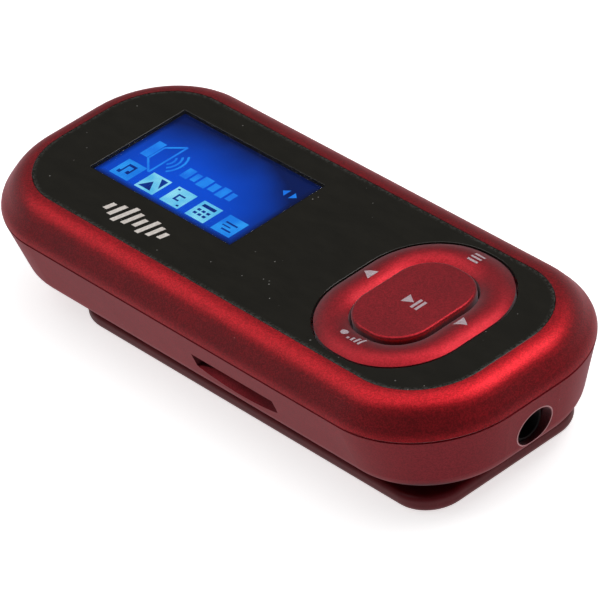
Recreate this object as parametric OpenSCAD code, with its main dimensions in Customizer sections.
// Pocket digital audio player with a spring clip, lying face up on its clip.
// Origin: centre of the footprint, on the surface it lies on. +X runs to the
// headphone end, -Y to the memory card side, +Z out of the display.

/* [Casing] */
// Length of the casing, end to end
body_l = 70.2; // [70:0.1:70.4]
// Width of the casing, side to side
body_w = 29.8; // [29.7:0.1:30]
// Radius of the casing's corners in plan
corner_r = 11.6; // [11.5:0.1:11.7]
// Height of the front window's top face
top_z = 13.5; // [13.45:0.05:13.55]
// Radius of the upper shell beside the window
crown_r = 3.15; // [3.1:0.05:3.2]
// Straight run between the upper shell's two rounds
crown_run = 1.3; // [1.25:0.05:1.35]
// Radius of the upper shell above the seam
shoulder_r = 2.0; // [1.95:0.05:2.05]
// Straight run of the lower wall below the seam
wall_run = 6; // [5.95:0.05:6.05]
// Radius between the lower wall and the underside
under_fillet_r = 2.5; // [2.45:0.05:2.55]
// Wall thickness of both shells
wall = 1.2; // [1:0.05:1.25]

/* [Front window] */
// Thickness of the window
window_t = 1.0; // [0.9:0.05:1.1]
// Width of the display's visible area along X
view_l = 21.3; // [20:0.1:22]
// Height of the display's visible area along Y
view_w = 12.4; // [11.5:0.1:12.8]
// Centre of the visible area along X
view_x = -14.1; // [-14.2:0.1:-13.9]
// Centre of the visible area along Y
view_y = 1.75; // [1.6:0.05:1.8]

/* [Keys] */
// Centre of the keys along X
key_x = 18.7; // [18.5:0.1:18.8]
// Length of the four-way ring along X
ring_l = 16.6; // [16.4:0.1:16.8]
// Width of the four-way ring along Y
ring_w = 20.0; // [19.8:0.1:20.2]
// Corner radius of the four-way ring
ring_r = 7.75; // [7.6:0.05:7.9]
// Width of the ring's band
ring_band = 3.4; // [3.3:0.05:3.5]
// Height of the ring's crest above the window
ring_crest = 0.5; // [0.4:0.05:0.6]
// Height of the centre button above the window
button_rise = 0.55; // [0.4:0.05:0.7]
// Gap between keys and their openings
key_gap = 0.25; // [0.2:0.01:0.28]

/* [Clip] */
// End of the clip nearest the display, along X
clip_x0 = -22.3; // [-22.4:0.1:-22]
// Free end of the clip, along X
clip_x1 = 31.2; // [31:0.1:31.4]
// Width of the clip
clip_w = 21.8; // [21.6:0.1:22]
// Centre of the clip along Y
clip_y = -0.85; // [-0.9:0.05:-0.8]
// Thickness of the clip's plate
clip_t = 1.9; // [1.8:0.05:1.95]
// Corner radius of the clip's plate
clip_r = 4.2; // [4:0.1:4.6]
// Hinge position along X
hinge_x = -16; // [-16.1:0.1:-15.9]
// Hinge height
hinge_z = 2.1; // [2.05:0.05:2.15]
// Radius of the hinge pin
pin_r = 0.6; // [0.5:0.05:0.65]

/* [Sockets] */
// Position of the headphone socket's axis along Y
jack_y = 0.4; // [0.2:0.1:0.6]
// Height of the headphone socket's axis
jack_z = 5.9; // [5.9:0.01:5.92]
// Radius of the hole in the casing for the headphone plug
jack_hole_r = 2.2; // [2.15:0.05:2.2]
// Radius of the headphone socket's bore
jack_bore_r = 1.8; // [1.78:0.01:1.85]
// Centre of the memory card slot along X
card_x = 6.6; // [6.6:0.1:6.8]
// Length of the memory card slot
card_l = 12.0; // [11.6:0.1:12.4]
// Centre of the USB socket along X
usb_x = 9; // [8.5:0.1:9.5]
// Centre of the power slider along X
slider_x = -9; // [-10:0.1:-8.8]

/* [Hidden] */
$fn = 64;
eps = 0.01;

half_l = body_l / 2;

// Shell sections. The upper shell's straight run slopes as a 3-4-5 triangle and
// the lower wall leans in as a 7-24-25 triangle, so that straight runs and
// rounds meet at round numbers
window_inset = 0.2 * shoulder_r + 0.6 * crown_run + 0.8 * crown_r;
seam_z = top_z - 0.6 * shoulder_r - 0.8 * crown_run - 0.4 * crown_r;
lean_sin = 0.28;
lean_cos = 0.96;
under_z = seam_z - lean_cos * wall_run - (1 - lean_sin) * under_fillet_r;
far = 10;
lip_t = 0.5;
lip_h = 0.8;
lip_gap = 0.05;
seam_bevel = 0.15;

// Front window stack, from the top down
tape_t = 0.15;
tape_gap = 0.4;
floor_t = 0.8;
recess_z = top_z - window_t - tape_t;
ceiling_z = recess_z - floor_t;
window_bevel = 0.25;

// Display module, behind the window
panel_l = 24;
panel_w = 15.6;
panel_y = 0.9;
panel_t = 1.0;
panel_z = recess_z - panel_t - 0.05;
tray_rim = 0.4;
tray_depth = 0.15;
flex_t = 0.1;
flex_w = 8;
flex_x = view_x - panel_l / 2 - 0.9;
flex_r = 0.4;

// Main board
board_t = 0.8;
board_z = 8.1;
board_top = board_z + board_t;
board_inset = 2.0;
flex_top = panel_z - 0.02;
flex_low = board_top + 0.6;

// Key travel: switches at the ring's four points and under the button
point_x = 6.6;
point_y = 8.4;
switch_l = 3.2;
switch_h = 0.6;
plunger_r = 0.8;
plunger_h = 0.25;
switch_top = board_top + switch_h + plunger_h;
post_gap = 0.19;
button_gap = 0.3;
ring_edge_z = top_z - 0.05;
ring_under = 11.35;
ring_flange_z = 10.55;
ring_flange_t = 0.55;
ring_flange = 0.9;
ring_skirt = 2.05;
button_inset = ring_band + 0.3;
button_r = ring_r - button_inset;
button_flange = 1.15;
button_flange_t = 0.4;
button_edge = 0.3;
key_points = [[point_x, 0], [-point_x, 0], [0, point_y], [0, -point_y]];

// Ring rocker
rocker_l = 9.2;
rocker_w = 12;
rocker_r = 3;
rocker_band = 1;
rocker_t = 0.4;
rocker_z = board_top + 0.2;

// Screws: at the display end and, under the clip, at the headphone end
screws = [[-28, -7], [-28, 7], [28, -8.2], [28, 8.2]];
boss_r = 1.5;
screw_r = 0.7;
screw_l = 5.2;
head_r = 1.15;
head_h = 0.7;
head_z = under_z + 0.5;
boss_z = 5.6;

// Battery, on a raised bed over the hinge
bed_z = 4.0;
battery_x0 = -24.6;
battery_x1 = -3.4;
battery_w = 18;
battery_t = 3.4;
battery_z = bed_z + 0.15;
circuit_l = 1.9;
lead_r = 0.35;
lead_out = 1.5;

// Clip hinge
barrel_r = 1.2;
hinge_clear = 0.3;
barrel_y = [2.6, 6.4];
lug_y = [6.8, 8.6];
pin_fit = 0.05;
clip_open = 10;
clip_mid = (clip_x0 + clip_x1) / 2;
clip_half = (clip_x1 - clip_x0) / 2;
clip_edge_low = 0.9;
clip_edge_top = 0.6;
spring_wire = 0.2;
spring_r = 1.05;
spring_turns = 4;

// Headphone socket
jack_x0 = 20.8;
jack_x1 = 30.4;
jack_nose_x = 32.6;
jack_nose_r = 2.05;
jack_w = 6.4;
jack_h = 4.2;
jack_back = 1.1;

// Memory card socket
card_z0 = 5.7;
card_h = 2.38;
card_depth = 14.8;
card_front = -12.3;
card_wall = 0.2;
// Thumb scoop below the card slot
scoop_r = 22.9;
scoop_drop = 0.9;
scoop_y = -13.34;
slot_z0 = 5.55;
slot_z1 = 7.25;

// USB socket (micro-B shell)
usb_l = 7.5;
usb_h = 2.7;
usb_chamfer = 1.1;
usb_depth = 5.6;
usb_front = 13.2;
usb_wall = 0.3;
usb_z = board_z - usb_h / 2 - 0.02;

// Power slider
slider_z = 6.95;
slider_l = 4.2;
slider_h = 1.9;
slider_travel = 1.8;
slider_floor = 13.35;
slider_face = 14.05;

// Microphone
mic_r = 1.8;
mic_t = 1.3;
mic_z = 6.2;
mic_x = -31.85;

// ---- Shared shapes -------------------------------------------------------

// Sweeps a section round a rectangle with corners of radius r. The section is
// drawn as [distance out from a corner's centre, height]. The middle is filled
// from z0 to z1.
module around_rectangle(l, w, r, z0, z1) {
    cx = l / 2 - r;
    cy = w / 2 - r;
    for (sx = [0, 1], sy = [0, 1])
        mirror([sx, 0, 0]) mirror([0, sy, 0]) translate([cx, cy, 0])
            rotate_extrude(angle = 90) children();
    for (sy = [0, 1])
        mirror([0, sy, 0]) translate([-cx, cy, 0]) rotate([90, 0, 90])
            linear_extrude(2 * cx) children();
    for (sx = [0, 1])
        mirror([sx, 0, 0]) translate([cx, cy, 0]) rotate([90, 0, 0])
            linear_extrude(2 * cy) children();
    if (z1 > z0)
        translate([-cx, -cy, z0]) cube([2 * cx, 2 * cy, z1 - z0]);
}

// Sweeps a section round the casing's outline
module around_casing(z0, z1) {
    around_rectangle(body_l, body_w, corner_r, z0, z1) children();
}

// A slab with the casing's outline drawn in by inset
module casing_slab(inset, z0, z1) {
    rounded_slab(body_l - 2 * inset, body_w - 2 * inset, corner_r - inset, z0, z1);
}

// A slab with rounded corners
module rounded_slab(l, w, r, z0, z1) {
    translate([0, 0, z0]) linear_extrude(z1 - z0) {
        for (sx = [-1, 1], sy = [-1, 1])
            translate([sx * (l / 2 - r), sy * (w / 2 - r)]) circle(r);
        square([l, w - 2 * r], center = true);
        square([l - 2 * r, w], center = true);
    }
}

// A box given by its low corner and its high corner
module block(low, high) {
    translate(low) cube(high - low);
}

// A cylinder along X, Y or Z between two heights of that axis
module rod_x(r, x0, x1, y, z) {
    translate([x0, y, z]) rotate([0, 90, 0]) cylinder(r = r, h = x1 - x0);
}
module rod_y(r, y0, y1, x, z) {
    translate([x, y1, z]) rotate([90, 0, 0]) cylinder(r = r, h = y1 - y0);
}
module rod_z(r, z0, z1, x, y) {
    translate([x, y, z0]) cylinder(r = r, h = z1 - z0);
}

// Both sides of the hinge
module both_sides() {
    children();
    mirror([0, 1, 0]) children();
}

// ---- Casing --------------------------------------------------------------

// A slice of a disc between two directions from its centre, each given as a
// point to pass through; corner is a point between them, beyond the disc
module slice(centre, r, from, corner, to) {
    translate(centre) intersection() {
        circle(r);
        polygon([[0, 0], from, corner, to]);
    }
}

// Section of the upper shell's outside, or of its inside with inset
module upper_section(inset, ceiling) {
    shoulder = [corner_r - shoulder_r, seam_z];
    crown = [corner_r - window_inset, top_z - crown_r];
    intersection() {
        union() {
            slice(shoulder, shoulder_r - inset, [far, 0], [far, far / 2], [far, far * 0.75]);
            slice(crown, crown_r - inset, [far, far * 0.75], [far, far], [0, far]);
            polygon([
                [0, seam_z],
                shoulder,
                shoulder + (shoulder_r - inset) * [0.8, 0.6],
                crown + (crown_r - inset) * [0.8, 0.6],
                crown,
                [crown[0], top_z - inset],
                [0, top_z - inset]
            ]);
        }
        translate([0, seam_z]) square([corner_r, ceiling - seam_z]);
    }
}

// Section of the lower shell's outside, or of its inside with inset
module lower_section(inset) {
    lean = [lean_cos, -lean_sin];
    foot = [corner_r - lean_sin * wall_run - lean_cos * under_fillet_r, under_z + under_fillet_r];
    slice(foot, under_fillet_r - inset, [0, -far], [far * lean_cos, -far], far * lean);
    polygon([
        [0, under_z + inset],
        [foot[0], under_z + inset],
        foot,
        foot + (under_fillet_r - inset) * lean,
        [corner_r - inset / lean_cos, seam_z],
        [0, seam_z]
    ]);
}

// A small bevel that makes the visible seam line
module seam_notch() {
    translate([corner_r, seam_z]) rotate(45)
        square(seam_bevel * sqrt(2), center = true);
}

module key_opening(z0, z1, gap) {
    translate([key_x, 0, 0])
        rounded_slab(ring_l + 2 * gap, ring_w + 2 * gap, ring_r + gap, z0, z1);
}

module top_shell() {
    color("firebrick") difference() {
        union() {
            difference() {
                around_casing(seam_z, top_z) difference() {
                    upper_section(0, top_z);
                    seam_notch();
                }
                around_casing(seam_z - eps, ceiling_z) union() {
                    upper_section(wall, ceiling_z);
                    translate([0, seam_z - eps])
                        square([corner_r - wall + lip_t + lip_gap, lip_h + 0.1]);
                }
            }
            for (p = screws)
                rod_z(boss_r, boss_z + 0.1, ceiling_z + 0.2, p[0], p[1]);
        }
        casing_slab(window_inset, recess_z, top_z + 1);
        translate([view_x, panel_y, 0])
            block([-panel_l / 2 - 0.25, -panel_w / 2 - 0.25, ceiling_z - 1],
                  [panel_l / 2 + 0.25, panel_w / 2 + 0.25, recess_z + 1]);
        key_opening(ceiling_z - 1, recess_z + 1, key_gap);
        for (p = screws)
            rod_z(screw_r - 0.1, boss_z - 1, ceiling_z - 0.6, p[0], p[1]);
    }
}

// The card slot, with a shallow round thumb scoop that dips below it
module card_slot() {
    block([card_x - card_l / 2, -20, slot_z0], [card_x + card_l / 2, -12, slot_z1]);
    intersection() {
        translate([card_x, scoop_y, slot_z0 - scoop_drop]) rotate([atan(3 / 4), 0, 0])
            translate([0, 5, scoop_r]) rotate([90, 0, 0])
                cylinder(r = scoop_r, h = 12, $fn = 128);
        block([card_x - card_l / 2 + 0.2, -20, slot_z0 - 2],
              [card_x + card_l / 2 - 0.2, -12.2, slot_z1 - 0.2]);
    }
}

module hinge_pocket(r) {
    rod_y(r, -barrel_y[1] - 0.2, barrel_y[1] + 0.2, hinge_x, hinge_z);
}

module tail_recess() {
    rise = (hinge_x - clip_x0 + 0.6) * sin(clip_open);
    translate([0, clip_y + clip_w / 2 + 0.4, 0]) rotate([90, 0, 0])
        linear_extrude(clip_w + 0.8)
            polygon([
                [hinge_x - 1, under_z - 1],
                [hinge_x - 1, under_z],
                [clip_x0 - 0.6, clip_t + rise + 0.15],
                [clip_x0 - 0.6, under_z - 1]
            ]);
}

// The USB socket's outline, grown all round, between two depths along Y
module usb_prism(grow, y_out, y_in) {
    hl = usb_l / 2 + grow;
    hh = usb_h / 2 + grow;
    translate([usb_x, y_out, usb_z]) rotate([90, 0, 0]) linear_extrude(y_out - y_in)
        polygon([
            [-hl, hh], [-hl, usb_chamfer - hh], [usb_chamfer - hl, -hh],
            [hl - usb_chamfer, -hh], [hl, usb_chamfer - hh], [hl, hh]
        ]);
}

module bottom_shell() {
    color("firebrick") difference() {
        union() {
            difference() {
                around_casing(under_z, seam_z) difference() {
                    lower_section(0);
                    seam_notch();
                }
                around_casing(under_z + wall, seam_z + eps) union() {
                    lower_section(wall);
                    translate([0, seam_z]) square([corner_r - wall / lean_cos, eps]);
                }
            }
            around_casing(0, 0)
                translate([corner_r - wall, seam_z - 0.3])
                    square([lip_t, lip_h + 0.3]);
            block([battery_x0, -battery_w / 2, under_z + 1], [-8, battery_w / 2, bed_z]);
            for (p = screws)
                rod_z(boss_r + 0.5, under_z + 1.1, boss_z, p[0], p[1]);
            both_sides() {
                rod_y(barrel_r, lug_y[0], lug_y[1], hinge_x, hinge_z);
                block([hinge_x - barrel_r, lug_y[0], hinge_z],
                      [hinge_x + barrel_r, lug_y[1], under_z + 0.5]);
            }
        }
        hinge_pocket(barrel_r + hinge_clear);
        both_sides() rod_y(pin_r, lug_y[0] - 1, lug_y[1] - 0.3, hinge_x, hinge_z);
        tail_recess();
        for (p = screws) {
            rod_z(screw_r + 0.1, under_z - 1, boss_z + 1, p[0], p[1]);
            rod_z(head_r + 0.15, under_z - 1, head_z + head_h + 0.05, p[0], p[1]);
        }
        rod_x(jack_hole_r, jack_x1 - 1, half_l + 1, jack_y, jack_z);
        card_slot();
        usb_prism(0.3, usb_front + 3, 12);
        block([slider_x - slider_l / 2 - 0.2, 12.2, slider_z - slider_h / 2 + 0.25],
              [slider_x + slider_l / 2 + slider_travel + 0.2, 16, slider_z + slider_h / 2 - 0.25]);
        translate([slider_x + slider_travel / 2, 18, slider_z]) rotate([90, 0, 0])
            rounded_slab(slider_l + slider_travel + 1.6, slider_h + 0.9, 1.2, 0, 18 - slider_floor);
        rod_x(0.45, -half_l - 1, mic_x + 0.5, 0, mic_z);
    }
}

module front_window() {
    color("black") difference() {
        around_casing(recess_z + tape_t, top_z) difference() {
            translate([0, recess_z + tape_t])
                square([corner_r - window_inset - 0.05, window_t]);
            translate([corner_r - window_inset - 0.05, top_z]) rotate(45)
                square(window_bevel * sqrt(2), center = true);
        }
        key_opening(recess_z - 1, top_z + 1, key_gap);
    }
}

module window_adhesive() {
    color("dimgray") difference() {
        casing_slab(window_inset + 0.4, recess_z, recess_z + tape_t);
        translate([view_x, view_y, 0])
            block([-view_l / 2 - tape_gap, -view_w / 2 - tape_gap, recess_z - 1],
                  [view_l / 2 + tape_gap, view_w / 2 + tape_gap, recess_z + 1]);
        key_opening(recess_z - 1, recess_z + 1, 0.6);
    }
}

// ---- Display -------------------------------------------------------------

module display_panel() {
    color("navy") translate([view_x, panel_y, 0])
        block([-panel_l / 2, -panel_w / 2, panel_z],
              [panel_l / 2, panel_w / 2, panel_z + panel_t]);
}

module display_tray() {
    color("whitesmoke") translate([view_x, panel_y, 0]) difference() {
        block([-panel_l / 2 - tray_rim, -panel_w / 2 - tray_rim, board_top + 0.02],
              [panel_l / 2 + tray_rim, panel_w / 2 + tray_rim, ceiling_z - 0.1]);
        block([-panel_l / 2 - 0.05, -panel_w / 2 - 0.05, panel_z - tray_depth],
              [panel_l / 2 + 0.05, panel_w / 2 + 0.05, ceiling_z + 1]);
        block([-panel_l, -4.5 - panel_y, panel_z - tray_depth],
              [-panel_l / 2, 4.5 - panel_y, ceiling_z + 1]);
    }
}

// The ribbon leaves the panel, turns down and turns out into its connector
module display_flex() {
    color("darkorange") translate([0, flex_w / 2, 0]) rotate([90, 0, 0])
        linear_extrude(flex_w) {
            translate([flex_x + flex_r, flex_top - flex_t])
                square([2.3 - flex_r, flex_t]);
            translate([flex_x + flex_r, flex_top - flex_r]) intersection() {
                difference() {
                    circle(flex_r);
                    circle(flex_r - flex_t);
                }
                translate([-flex_r, 0]) square(flex_r);
            }
            translate([flex_x, flex_low + flex_r])
                square([flex_t, flex_top - flex_low - 2 * flex_r]);
            translate([flex_x + flex_t - flex_r, flex_low + flex_r]) intersection() {
                difference() {
                    circle(flex_r);
                    circle(flex_r - flex_t);
                }
                translate([0, -flex_r]) square(flex_r);
            }
            translate([flex_x + flex_t - flex_r - 0.9, flex_low])
                square([0.9, flex_t]);
        }
}

module flex_connector() {
    color("ivory") difference() {
        block([flex_x - 2.6, -4.9, board_top], [flex_x - 0.6, 4.9, board_top + 1.1]);
        block([flex_x - 1.5, -flex_w / 2 - 0.1, flex_low - 0.05],
              [flex_x, flex_w / 2 + 0.1, flex_low + flex_t + 0.05]);
    }
}

// ---- Electronics ---------------------------------------------------------

module main_board() {
    color("darkgreen") difference() {
        casing_slab(board_inset, board_z, board_top);
        for (p = screws)
            rod_z(boss_r + 0.6, board_z - 1, board_top + 1, p[0], p[1]);
    }
}

// A chip: a bevelled body and two rows of legs
module chip(l, w, h, legs) {
    translate([-l / 2, -w / 2, 0.1]) cube([l, w, h - 0.1]);
    pitch = (l - 0.8) / (legs - 1);
    for (i = [0 : legs - 1], s = [-1, 1])
        translate([-l / 2 + 0.4 + i * pitch - 0.12, s * (w / 2 + 0.2) - 0.3, 0])
            cube([0.24, 0.6, 0.25]);
}

module processor() {
    color("dimgray") translate([4.2, 3.6, board_top]) chip(7, 7, 1, 9);
}

module flash_memory() {
    color("dimgray") translate([4.2, -6, board_top]) chip(8, 6, 1, 10);
}

module crystal() {
    color("silver") translate([4.2, 9.9, board_top])
        rounded_slab(4.8, 1.8, 0.8, 0, 1);
}

module small_parts() {
    color("tan") for (i = [0 : 5]) {
        translate([-0.4, -9.5 + i * 3.6, board_top]) cube([0.6, 1.2, 0.5]);
        translate([19 + i * 1.5, -12.4, board_top]) cube([1, 0.6, 0.5]);
        translate([19 + i * 1.5, 11.8, board_top]) cube([1, 0.6, 0.5]);
    }
}

module key_switches() {
    color("silver") for (p = concat(key_points, [[0, 0]]))
        translate([key_x + p[0], p[1], 0])
            block([-switch_l / 2, -switch_l / 2, board_top],
                  [switch_l / 2, switch_l / 2, board_top + switch_h]);
}

module switch_plungers() {
    color("black") for (p = concat(key_points, [[0, 0]]))
        rod_z(plunger_r, board_top + switch_h, switch_top, key_x + p[0], p[1]);
}

module battery() {
    color("lightgray") translate([0, battery_w / 2, 0]) rotate([90, 0, 0])
        linear_extrude(battery_w) {
            x0 = battery_x0 + 0.8;
            x1 = battery_x1 - 0.8;
            translate([x0, battery_z]) square([x1 - x0, battery_t]);
            for (x = [x0, x1], z = [0.8, battery_t - 0.8])
                translate([x, battery_z + z]) circle(0.8);
            translate([battery_x0, battery_z + 0.8])
                square([battery_x1 - battery_x0, battery_t - 1.6]);
        }
}

module battery_circuit() {
    color("forestgreen")
        block([battery_x1 + 0.05, -6, battery_z + 0.6],
              [battery_x1 + circuit_l, 6, battery_z + 2.8]);
}

module battery_tape() {
    color("khaki")
        block([battery_x0 + 2, -7, bed_z], [battery_x1 - 3, 7, battery_z]);
}

// A lead from the battery's circuit that turns up to a joint on the board
module battery_lead(y) {
    x0 = battery_x1 + circuit_l;
    z0 = battery_z + 1.7;
    rod_x(lead_r, x0, x0 + lead_out, y, z0);
    translate([x0 + lead_out, y, z0]) sphere(lead_r);
    rod_z(lead_r, z0, board_z - 0.2, x0 + lead_out, y);
    rod_z(0.55, board_z - 0.3, board_z, x0 + lead_out, y);
}

module battery_lead_positive() {
    color("red") battery_lead(5);
}

module battery_lead_negative() {
    color("black") battery_lead(3.4);
}

module headphone_jack() {
    color("black") translate([0, jack_y, 0]) difference() {
        union() {
            block([jack_x0, -jack_w / 2, jack_z - jack_h / 2],
                  [jack_x1, jack_w / 2, jack_z + jack_h / 2]);
            rod_x(jack_nose_r, jack_x1 - eps, jack_nose_x, 0, jack_z);
        }
        rod_x(jack_bore_r, jack_x0 + jack_back, jack_nose_x + 1, 0, jack_z);
        both_sides()
            block([jack_x0 + 2.4, 2, jack_z - 0.9], [jack_x1 - 2, jack_w / 2 + 1, jack_z + 0.9]);
    }
}

module jack_contacts() {
    color("silver") translate([0, jack_y, 0]) both_sides() {
        block([jack_x0 + 2.5, 2.1, jack_z - 0.7], [jack_x1 - 2.1, 2.35, jack_z + 0.7]);
        block([jack_x0 + 2.5, 2.1, jack_z - 0.7], [jack_x0 + 2.8, jack_w / 2 + 0.4, jack_z + 0.7]);
        block([jack_x0 + 2.5, jack_w / 2 + 0.1, jack_z - 0.7],
              [jack_x0 + 2.8, jack_w / 2 + 0.4, board_z]);
    }
}

module card_socket_shell() {
    color("silver") translate([card_x, card_front, card_z0]) difference() {
        block([-7, 0, 0.4], [7, card_depth, card_h]);
        block([-7 + card_wall, -1, -1], [7 - card_wall, card_depth - card_wall, card_h - card_wall]);
        block([-2, 3, 1], [2, 6, card_h + 1]);
    }
}

module card_socket_base() {
    color("dimgray") translate([card_x, card_front, card_z0]) difference() {
        block([-6.7, 0, 0], [6.7, card_depth - 0.3, 0.6]);
        block([-5.4, -1, 0.45], [5.4, card_depth - 2, 1]);
    }
}

module usb_shell() {
    color("silver") difference() {
        usb_prism(0, usb_front, usb_front - usb_depth);
        usb_prism(-usb_wall, usb_front + 1, usb_front - usb_depth + 0.4);
    }
}

module usb_tongue() {
    color("black")
        block([usb_x - 1.9, usb_front - usb_depth + 0.42, usb_z + 0.1],
              [usb_x + 1.9, usb_front - 0.7, usb_z + 0.7]);
}

module slide_switch() {
    color("silver") difference() {
        block([slider_x - 3.4, 10.2, board_z - 1.5], [slider_x + 5.2, 12.3, board_z]);
        block([slider_x - 1.3, 11.5, slider_z - 0.5],
              [slider_x + slider_travel + 1.3, 13, slider_z + 0.5]);
    }
}

module power_slider() {
    color("maroon") difference() {
        union() {
            block([slider_x - slider_l / 2, slider_floor + 0.05, slider_z - slider_h / 2],
                  [slider_x + slider_l / 2, slider_face, slider_z + slider_h / 2]);
            block([slider_x - slider_l / 2 + 0.9, 12.6, slider_z - 0.6],
                  [slider_x + slider_l / 2 - 0.9, slider_floor + 0.1, slider_z + 0.6]);
            block([slider_x - 0.9, 11.6, slider_z - 0.35],
                  [slider_x + 0.9, 12.7, slider_z + 0.35]);
        }
        for (i = [-2 : 2])
            rod_z(0.2, slider_z - 2, slider_z + 2, slider_x + i * 0.75, slider_face);
    }
}

module microphone() {
    color("silver") rod_x(mic_r, mic_x + 0.4, mic_x + 0.4 + mic_t, 0, mic_z);
}

module mic_gasket() {
    color("black") difference() {
        rod_x(mic_r - 0.3, mic_x, mic_x + 0.4, 0, mic_z);
        rod_x(0.6, mic_x - 1, mic_x + 1, 0, mic_z);
    }
}

// ---- Keys ----------------------------------------------------------------

module nav_ring() {
    dome_r = (pow(ring_band / 2, 2) + pow(ring_crest + 0.05, 2)) / (2 * (ring_crest + 0.05));
    color("firebrick") translate([key_x, 0, 0]) {
        around_rectangle(ring_l, ring_w, ring_r, 0, 0) union() {
            translate([ring_r - ring_band, ring_under])
                square([ring_band, ring_edge_z - ring_under]);
            translate([ring_r - ring_skirt, ring_flange_z])
                square([ring_skirt, ring_edge_z - ring_flange_z]);
            translate([ring_r - ring_skirt, ring_flange_z])
                square([ring_skirt + ring_flange, ring_flange_t]);
            intersection() {
                translate([ring_r - ring_band / 2, top_z + ring_crest - dome_r]) circle(dome_r);
                translate([ring_r - ring_band, ring_edge_z - eps])
                    square([ring_band, ring_crest + 1]);
            }
        }
        for (p = key_points)
            rod_z(0.6, switch_top + post_gap, ring_flange_z + 0.1, p[0], p[1]);
    }
}

module ring_rocker() {
    color("dimgray") translate([key_x, 0, 0]) {
        difference() {
            rounded_slab(rocker_l, rocker_w, rocker_r, rocker_z, rocker_z + rocker_t);
            rounded_slab(rocker_l - 2 * rocker_band, rocker_w - 2 * rocker_band,
                         rocker_r - rocker_band, rocker_z - 1, rocker_z + 1);
        }
        for (s = [-1, 1])
            block([-0.3, s * 5.5 - 0.4, board_top + 0.02], [0.3, s * 5.5 + 0.4, rocker_z + 0.1]);
    }
}

module play_button() {
    button_top = top_z + button_rise;
    color("firebrick") translate([key_x, 0, 0]) {
        around_rectangle(ring_l - 2 * button_inset, ring_w - 2 * button_inset, button_r,
                         switch_top + button_gap + 0.1, button_top)
            union() {
                low = switch_top + button_gap + 0.1;
                translate([0, low]) square([button_r, button_top - button_edge - low]);
                translate([0, low]) square([button_r - button_edge, button_top - low]);
                translate([button_r - button_edge, button_top - button_edge]) circle(button_edge);
                translate([0, low]) square([button_r + button_flange, button_flange_t]);
            }
        rod_z(1, switch_top + button_gap, switch_top + button_gap + 0.2, 0, 0);
    }
}

// ---- Fasteners and clip --------------------------------------------------

module case_screws() {
    color("silver") for (p = screws) difference() {
        union() {
            rod_z(head_r, head_z, head_z + head_h, p[0], p[1]);
            rod_z(screw_r - 0.12, head_z + head_h - eps, head_z + screw_l, p[0], p[1]);
        }
        for (a = [0, 90])
            translate([p[0], p[1], head_z]) rotate(a) cube([1.4, 0.35, 0.6], center = true);
    }
}

module clip() {
    color("maroon") difference() {
        union() {
            translate([clip_mid, clip_y, 0])
                around_rectangle(2 * clip_half, clip_w, clip_r, 0, clip_t) union() {
                    translate([0, clip_edge_low])
                        square([clip_r, clip_t - clip_edge_low - clip_edge_top]);
                    square([clip_r - clip_edge_low, clip_t]);
                    translate([clip_r - clip_edge_low, 0])
                        intersection() {
                            translate([0, clip_edge_low]) circle(clip_edge_low);
                            square([clip_edge_low, clip_edge_low]);
                        }
                    translate([clip_r - clip_edge_low, clip_t - clip_edge_top])
                        square([clip_edge_low - clip_edge_top, clip_edge_top]);
                    translate([clip_r - clip_edge_top, clip_t - clip_edge_top])
                        intersection() {
                            circle(clip_edge_top);
                            square(clip_edge_top);
                        }
                }
            both_sides() {
                rod_y(barrel_r, barrel_y[0], barrel_y[1], hinge_x, hinge_z);
                block([hinge_x - barrel_r, barrel_y[0], 1], [hinge_x + barrel_r, barrel_y[1], hinge_z]);
            }
            for (x = [clip_x1 - 2.2, clip_x1 - 3.6, clip_x1 - 5])
                rod_y(0.4, -8, 8, x, clip_t - 0.15);
        }
        both_sides() {
            rod_y(pin_r + pin_fit, barrel_y[0] - 1, barrel_y[1] + 0.2, hinge_x, hinge_z);
            rod_y(barrel_r + hinge_clear, barrel_y[1] + 0.2, lug_y[1] + 0.3, hinge_x, hinge_z);
        }
        rod_y(barrel_r + hinge_clear, -barrel_y[0] + 0.1, barrel_y[0] - 0.1, hinge_x, hinge_z);
    }
}

module clip_pin() {
    color("silver") rod_y(pin_r, -lug_y[1] + 0.35, lug_y[1] - 0.35, hinge_x, hinge_z);
}

module clip_spring() {
    color("gray") {
        for (i = [0 : spring_turns - 1])
            translate([hinge_x, (i - (spring_turns - 1) / 2) * 0.9, hinge_z])
                rotate([90, 0, 0]) rotate_extrude() translate([spring_r, 0]) circle(spring_wire);
        for (s = [-1, 1])
            translate([hinge_x, s * (spring_turns - 1) / 2 * 0.9, hinge_z])
                rod_y(spring_wire, -0.45, 0.45, 0, spring_r);
    }
}

top_shell();
bottom_shell();
front_window();
window_adhesive();
display_panel();
display_tray();
display_flex();
flex_connector();
main_board();
processor();
flash_memory();
crystal();
small_parts();
key_switches();
switch_plungers();
nav_ring();
ring_rocker();
play_button();
battery();
battery_circuit();
battery_tape();
battery_lead_positive();
battery_lead_negative();
headphone_jack();
jack_contacts();
card_socket_shell();
card_socket_base();
usb_shell();
usb_tongue();
slide_switch();
power_slider();
microphone();
mic_gasket();
case_screws();
clip();
clip_pin();
clip_spring();
